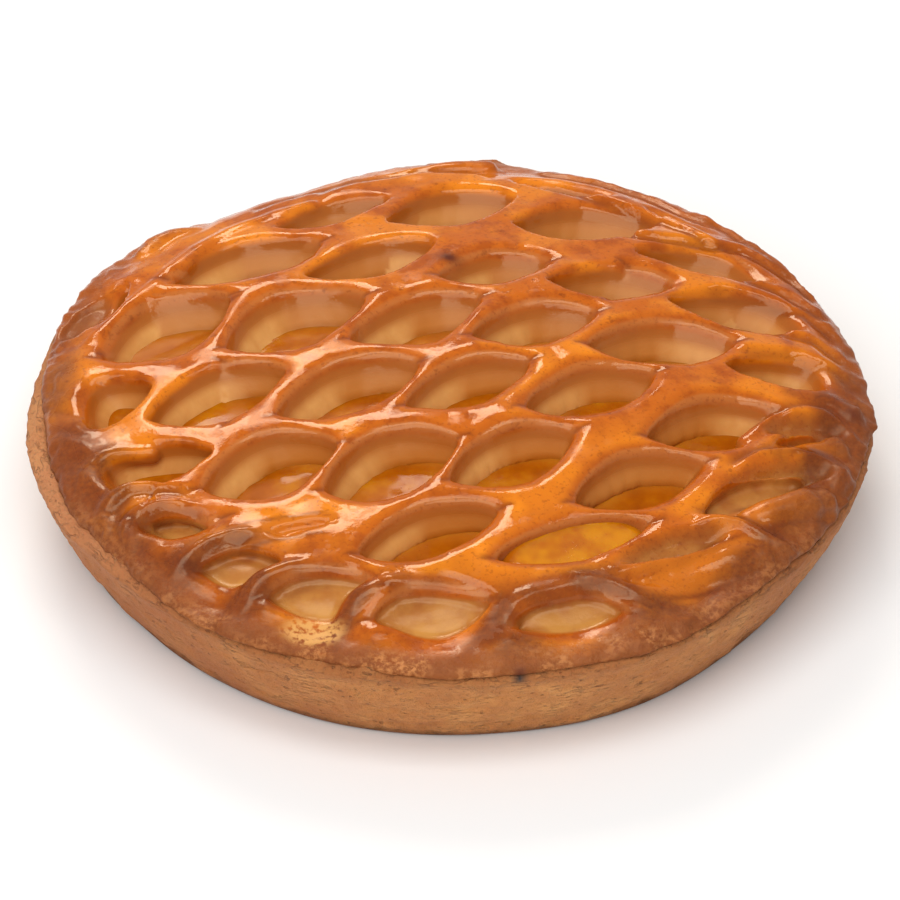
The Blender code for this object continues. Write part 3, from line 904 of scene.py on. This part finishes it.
def makeGlazedPastry():
    finish = Finish("glazedPastry", lattice["tones"], IOR=1.45, Subsurface_Weight=0.10,
                    Subsurface_Scale=0.003, Subsurface_Radius=(1.0, 0.45, 0.15),
                    Specular_Tint=(1.0, 0.84, 0.58, 1.0))
    depth = finish.value("depth")  # 0 on top, 1 at the bottom of a hole
    rim = finish.value("rim")  # mm from the nearest hole's rim, negative inside
    kept = ("facing", "bake", "dull", "crumb", "glow", "floor")
    facing, bake, dull, crumb, glow, floor = [finish.value(name) for name in kept]
    cloudy = finish.grain(14 * mm, 2.0)
    speckle = finish.grain(1.1 * mm, 4.0, 0.65)
    # the depth is halved on walls that do not face the front, so the band of painted shade sits lower there
    level = depth * (0.5 + 0.5 * facing) + (cloudy - 0.5) * 0.12 + (speckle - 0.5) * 0.03
    finish.colour = finish.ramp(level, lattice["dough"])
    # the tops: darker shoulders, redder and more amber patches
    upper = 1 - depth.between(0.10, 0.25)
    shoulder = (1 - rim.between(0.6, 3.0)) * upper * (0.25 + 0.75 * facing)
    finish.paint("shoulder", shoulder * 0.35)
    redder = finish.grain(5.5 * mm, 4.0, 0.62).between(0.44, 0.64) * upper * (1 - glow)
    finish.paint("redder", redder * 0.62)
    amber = finish.grain(17 * mm, 3.0).between(0.46, 0.64) * 0.7 + glow
    finish.paint("amber", amber * upper * rim.between(0.5, 3.0))
    # the walls, pocket floors and lower strands
    wall = depth.between(0.34, 0.60) * (1 - depth.between(0.84, 0.96))
    streaky = finish.grain(3 * mm, 3.0, 0.6, (1, 1, 0.4))
    # paler cream on the walls at the left of each hole, and at the right of the far-right holes
    creamy = wall * finish.value("cream") * (0.45 + 0.8 * streaky)
    finish.paint("creamWall", creamy)
    palest = finish.grain(5 * mm, 3.0).between(0.35, 0.65)
    pale = finish.value("near") * 0.9 + (palest - 0.5) * 0.35
    # painted shade: the pocket floors and pressed hollows darker, paler towards the pockets' front edges
    finish.paint("floor", floor * 0.9)
    finish.paint("floorNear", floor * pale)
    finish.paint("ledge", finish.value("ledge") * 0.9)
    # painted highlight: a paler band along the rounded lips above the walls that face the front
    lipHighlight = rim.between(-1.8, -0.5) * (1 - rim.between(0.2, 1.0)) * (1 - depth.between(0.22, 0.42))
    finish.paint("lipHighlight", lipHighlight * facing * (1 - floor) * 0.55)
    # painted shade along the short creases at the holes' tips
    finish.paint("crease", finish.value("crease") * 0.7)
    # painted shade in the valleys, pleat troughs and lines round the lower strands
    finish.paint("valley", finish.value("valley") * 0.7)
    # baked and crusty places, with the painted shade under the front arches
    baked = bake.between(0.05, 1.0) * (0.80 + 0.7 * (speckle - 0.5))
    finish.paint("baked", baked)
    sandy = finish.grain(1.6 * mm, 4.0, 0.7).between(0.40, 0.62)
    blotchy = finish.grain(11 * mm, 3.0).between(0.38, 0.62)
    finish.paint("crust", dull * (0.45 + 0.4 * sandy))
    finish.paint("sandyCrust", dull * sandy * blotchy * 0.8)
    freckles = finish.grain(0.9 * mm, 3.0).between(0.55, 0.70) * upper
    finish.paint("freckle", freckles * 0.36)
    blots = finish.grain(3 * mm, 4.0, 0.6).between(0.62, 0.72) * upper
    finish.paint("blot", blots * 0.45)
    finish.paint("burnt", finish.value("burn"))
    crumbs = crumb.between(0.25, 0.75) * finish.grain(1.3 * mm, 4.0).between(0.34, 0.56)
    finish.paint("crumb", crumbs * 0.9)
    finish.feed("Base Color", finish.colour)
    # the glaze: wet on top, with some dry patches, dull on the crust
    dry = finish.grain(9 * mm, 5.0, 0.62).between(0.53, 0.56) * upper
    rough = 0.05 + 0.22 * dry + 0.16 * floor + 0.32 * depth.between(0.20, 0.5)
    rough = rough + 0.15 * bake.between(0.5, 1.0) + 0.35 * crumb + 0.30 * dull
    finish.feed("Roughness", rough + 0.16 * finish.value("outer"))
    fine = finish.grain(0.8 * mm, 3.0, 0.6)
    ripple = finish.grain(2.6 * mm, 3.0, 0.55)
    finish.feed("Normal", finish.relief(ripple * 0.6 + fine * 0.4 + sandy * dull * 1.5, 0.07 * mm))
    return finish


latticePiece, holes = makeLattice()
dress(latticePiece, makeGlazedPastry())
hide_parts("lattice_lid")
latticePiece.data.calc_loop_triangles()
print("lattice:", len(latticePiece.data.loop_triangles), "triangles")


# Apricot filling

filling = {
    "voxel": 1.3 * mm,
    "softRounds": 26,
    "reach": 86 * mm,
    "rise": 1.5 * mm,
    "lump": 0.12 * mm,
    "climb": 0.2 * mm,
    # the pool that stands higher: how much, then share, x, y, half length, half width in mm, tilt
    "poolRise": 6.6 * mm,
    "pool": ((1.0, 28, -60, 19, 9, 20),),
    "jam": ((0.28, (0.300, 0.062, 0.001)), (0.50, (0.390, 0.095, 0.001)),
            (0.74, (0.500, 0.170, 0.002))),
    "tones": {
        "shore": (0.430, 0.130, 0.012),
        "pale": (0.450, 0.150, 0.022),
        "pool": (0.440, 0.110, 0.002),
        "sunny": (0.580, 0.205, 0.002),
    },
}


def makeFilling(rims):
    piece = cadCopy("apricot_filling", "apricotFilling")
    remeshAt(piece, filling["voxel"])
    addModifier(piece, "SMOOTH", factor=0.5, iterations=filling["softRounds"])
    points = pointsOf(piece)
    radius = np.hypot(points[:, 0], points[:, 1])
    top = smoothStep(normalsOf(piece)[:, 2], 0.6, 0.9)
    top = top * fadeOut(radius, filling["reach"] - 8 * mm, filling["reach"])
    chunks = np.abs(lumps(points, 9 * mm, 5.2))
    ripples = lumps(points, 2.6 * mm, 9.4)
    points[:, 2] += top * (filling["rise"] + filling["lump"] * (1.6 * chunks - 0.6 + 0.22 * ripples))
    pool = smoothStep(spotted(points, filling["pool"]), 0.15, 0.6)
    points[:, 2] += top * filling["poolRise"] * pool
    inward = -rimDistance(points, rims)[0]
    climb = fadeOut(inward, 2.4 * mm, 6.8 * mm) * smoothStep(inward, -1 * mm, 1 * mm)
    points[:, 2] += top * filling["climb"] * climb * (1 - pool)
    movePoints(piece, points)
    pale = smoothStep(points[:, 1] + 0.25 * points[:, 0], 5 * mm, 30 * mm)
    keepValues(piece, pool=pool, shore=climb, pale=pale)
    return piece


def makeApricot():
    finish = Finish("apricotJam", filling["tones"], IOR=1.14, Subsurface_Weight=0.30,
                    Subsurface_Scale=0.004, Subsurface_Radius=(1.0, 0.5, 0.1),
                    Specular_Tint=(1.0, 0.85, 0.65, 1.0), Coat_Roughness=0.04)
    pool = finish.value("pool").between(0.1, 0.7)
    finish.colour = finish.ramp(finish.grain(8 * mm, 3.0, 0.55), filling["jam"])
    finish.paint("shore", finish.value("shore") * 0.7)
    finish.paint("pale", finish.value("pale") * 0.7)
    finish.paint("pool", pool)
    sunny = pool * finish.grain(8 * mm, 2.0).between(0.34, 0.60)
    finish.paint("sunny", sunny)
    finish.feed("Base Color", finish.colour)
    bubbly = finish.grain(9 * mm, 1.0).between(0.50, 0.62)
    bubbles = (1 - finish.cells(1.0 * mm).between(0.10, 0.30)) * bubbly
    finish.feed("Roughness", 0.26 - 0.16 * bubbly)
    finish.feed("Coat Weight", pool * 0.6 + bubbly * 0.25)
    finish.feed("Normal", finish.relief(finish.grain(5 * mm, 1.0) + bubbles * 0.35, 0.16 * mm))
    return finish


fillingPiece = makeFilling(holes)
dress(fillingPiece, makeApricot())
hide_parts("apricot_filling")
print("filling:", len(fillingPiece.data.polygons), "faces")


# Shortcrust case

case = {
    "columns": 520,
    "sideRows": 26,
    "baseRadius": 88.8 * mm,
    "rimRadius": 99.3 * mm,
    "bulge": 0.8 * mm,
    "wall": 6.5 * mm,
    "floor": 5 * mm,
    "heel": 1.6 * mm,
    "rough": 0.30 * mm,
    "rimRough": 0.35 * mm,
    "shadedHeight": 25.5 * mm,
    # where the side is browner: share, bearing and width in degrees
    "browner": ((0.75, 222, 32), (0.55, -30, 30), (0.4, 110, 60)),
    "darkSpot": ((1.0, 15.5, -98, 1.5, 3),),
    "crust": ((0.28, (0.49, 0.172, 0.040)), (0.50, (0.65, 0.258, 0.066)),
              (0.72, (0.78, 0.350, 0.100))),
    "tones": {
        "brown": (0.41, 0.115, 0.025),
        "grain": (0.27, 0.078, 0.018),
        "flour": (0.76, 0.40, 0.150),
        "rim": (0.27, 0.078, 0.016),
        "sand": (0.55, 0.220, 0.090),
        "foot": (0.17, 0.055, 0.016),
        "pit": (0.17, 0.048, 0.011),
        "spot": (0.020, 0.018, 0.018),
    },
}


def outlineOf(node, columns, height):
    # radius of a solid at that height, seen from the axis, for each column
    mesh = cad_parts[node].data
    tree = BVHTree.FromPolygons([v.co for v in mesh.vertices], [p.vertices for p in mesh.polygons])
    radii = []
    for column in range(columns):
        turn = math.radians(360 * column / columns)
        outward = Vector((math.cos(turn), math.sin(turn), 0))
        place = tree.ray_cast(outward * 0.2 + Vector((0, 0, height)), -outward)[0]
        radii.append(math.hypot(place.x, place.y))
    return np.array(radii)


def addRing(radius, height, lastRadius, lastHeight):
    bpy.ops.mesh.extrude_edges_move(TRANSFORM_OT_translate={"value": (0, 0, height - lastHeight)})
    share = radius / lastRadius
    bpy.ops.transform.resize(value=(share, share, 1), center_override=(0, 0, 0))


def sectionRings():
    # radius and height of each ring, from the foot up the outside and down the inside
    rim, rimRadius = shape["rimHeight"], case["rimRadius"]
    heel, baseRadius = case["heel"], case["baseRadius"]
    inner, innerFloor = rimRadius - case["wall"], baseRadius - case["wall"]
    rings = [(baseRadius - 5 * mm, 0), (baseRadius - heel, 0), (baseRadius - 0.5 * mm, 0.4 * mm)]
    for row in range(case["sideRows"] + 1):
        share = row / case["sideRows"]
        bulge = case["bulge"] * math.sin(math.pi * share)
        radius = baseRadius + (rimRadius - baseRadius) * share + bulge
        rings.append((radius, heel + (rim - 0.8 * mm - heel) * share))
    rings += [(rimRadius - 0.5 * mm, rim - 0.1 * mm), (rimRadius - 1.3 * mm, rim + 0.3 * mm)]
    rings += [(rimRadius - 2.4 * mm, rim + 1.3 * mm), (rimRadius - 4 * mm, rim + 1.3 * mm)]
    rings += [(inner + 1 * mm, rim), (inner, rim - 0.8 * mm), (innerFloor, case["floor"] + 2 * mm)]
    return rings + [(innerFloor - 3 * mm, case["floor"])]


def closeEdge():
    bpy.ops.mesh.edge_face_add()
    bpy.ops.mesh.poke()


def makeCase():
    start = 0.5 * case["baseRadius"]
    bpy.ops.mesh.primitive_circle_add(
        vertices=case["columns"], radius=start, fill_type="NOTHING", location=(0, 0, 0))
    piece = bpy.context.object
    piece.name = "shortcrustCase"
    bpy.ops.object.mode_set(mode="EDIT")
    bpy.ops.mesh.select_all(action="SELECT")
    lastRadius, lastHeight = start, 0
    for radius, height in sectionRings():
        addRing(radius, height, lastRadius, lastHeight)
        lastRadius, lastHeight = radius, height
    closeEdge()
    bpy.ops.mesh.select_all(action="DESELECT")
    bpy.ops.mesh.select_non_manifold(extend=False)
    closeEdge()
    bpy.ops.mesh.select_all(action="SELECT")
    bpy.ops.mesh.normals_make_consistent(inside=False)
    bpy.ops.object.mode_set(mode="OBJECT")
    fitCase(piece)
    return piece


def followSolid(points, radius, bearing):
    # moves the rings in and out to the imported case's own outline
    columns, spread = case["columns"], 8
    nominal = 0.5 * (case["baseRadius"] + case["rimRadius"]) + case["bulge"]
    outline = outlineOf("pastry_case", columns, 0.5 * shape["rimHeight"])
    wrapped = np.concatenate([outline[-spread:], outline, outline[:spread]])
    outline = np.convolve(wrapped, np.ones(2 * spread + 1) / (2 * spread + 1), "valid")
    column = (bearing % 360) / 360 * columns
    measured = np.interp(column, np.arange(columns + 1), np.append(outline, outline[0]))
    points[:, :2] *= (1 + (measured - nominal) / case["rimRadius"] * (radius > 1 * mm))[:, None]


def fitCase(piece):
    rim, baseRadius = shape["rimHeight"], case["baseRadius"]
    points = pointsOf(piece)
    radius = np.hypot(points[:, 0], points[:, 1])
    bearing = bearingOf(points)
    followSolid(points, radius, bearing)
    height = points[:, 2]
    side = baseRadius - 4 * mm + (case["rimRadius"] - baseRadius) * height / rim
    outside = (radius > baseRadius - 3 * mm) & (radius > side)
    away = points.copy()
    away[:, 2] = 0
    away /= np.maximum(np.hypot(away[:, 0], away[:, 1]), 1e-6)[:, None]
    heel = fadeOut(height, 1 * mm, 9 * mm)
    rough = 3.0 * heel * lumps(points, 9 * mm, 7.2) + 1.3 * lumps(points, 6 * mm, 2.2)
    rough += (1 + heel) * lumps(points, 2.6 * mm, 4.1) + 0.8 * lumps(points, 1.5 * mm, 8.8)
    creases = -smoothStep(lumps(points, 5 * mm, 6.6, (0.35, 0.35, 1.8)), 0.25, 0.5)
    push = case["rough"] * (rough + 1.2 * creases) * outside * smoothStep(height, 0.2 * mm, 2 * mm)
    points += away * push[:, None]
    onRim = smoothStep(height, rim - 1 * mm, rim)
    points[:, 2] += case["rimRough"] * lumps(points, 3.5 * mm, 3.3) * onRim
    movePoints(piece, points)
    brown = sum(share * aroundBearing(bearing, *place) for share, *place in case["browner"])
    brown = np.clip(brown + 0.35 * lumps(points, 14 * mm, 12.8), 0, 1)
    sand = aroundBearing(bearing, 196, 26) * smoothStep(height, 16 * mm, 24 * mm)
    sand = sand * (0.7 + 0.3 * lumps(points, 8 * mm, 9.9))
    spot = spotted(points, case["darkSpot"]) * smoothStep(height, 24 * mm, 25 * mm)
    keepValues(piece, brown=brown, sand=sand, spot=spot)


def makeShortcrust():
    finish = Finish("shortcrust", case["tones"], Subsurface_Weight=0.08, Subsurface_Scale=0.003)
    upward = finish.node("ShaderNodeSeparateXYZ", {}, {"Vector": finish.place}, "Z")
    height = upward * (1 / case["shadedHeight"])
    grain = finish.grain(1.1 * mm, 5.0, 0.75)
    cloudy = finish.grain(8 * mm, 4.0, 0.65)
    finish.colour = finish.ramp(cloudy, case["crust"])
    finish.paint("brown", finish.value("brown") * 0.9)
    finish.paint("grain", grain.between(0.52, 0.70) * 0.45)
    flour = finish.grain(0.8 * mm, 3.0, 0.6).between(0.56, 0.72)
    finish.paint("flour", flour * 0.35)
    sand = finish.value("sand")
    finish.paint("rim", height.between(0.84, 1.02) * (1 - sand) * 0.6)
    finish.paint("sand", sand * 0.8)
    # painted shade: darker at the foot, where the case meets the floor
    foot = (1 - height.between(0.0, 0.12)) * (0.4 + 0.6 * cloudy)
    finish.paint("foot", foot)
    cracks = finish.grain(5 * mm, 3.0, 0.6, (0.45, 0.45, 2.6))
    seams = cracks.between(0.46, 0.49) * (1 - cracks.between(0.49, 0.52)) * cloudy.between(0.45, 0.6)
    pits = finish.grain(2.0 * mm, 2.0, 0.5, (1, 1, 1.5)).between(0.66, 0.74)
    # painted shade: darker in the pits and cracks
    finish.paint("pit", pits * 0.42 + seams * 0.3)
    finish.paint("spot", finish.value("spot"))
    finish.feed("Base Color", finish.colour)
    finish.feed("Roughness", 0.62 + 0.3 * grain)
    uneven = grain * 0.8 + flour * 0.4 - pits * 0.7 - seams * 0.6
    finish.feed("Normal", finish.relief(uneven, 0.75 * mm))
    return finish


casePiece = makeCase()
dress(casePiece, makeShortcrust())
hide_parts("pastry_case")
print("case:", len(casePiece.data.polygons), "faces")
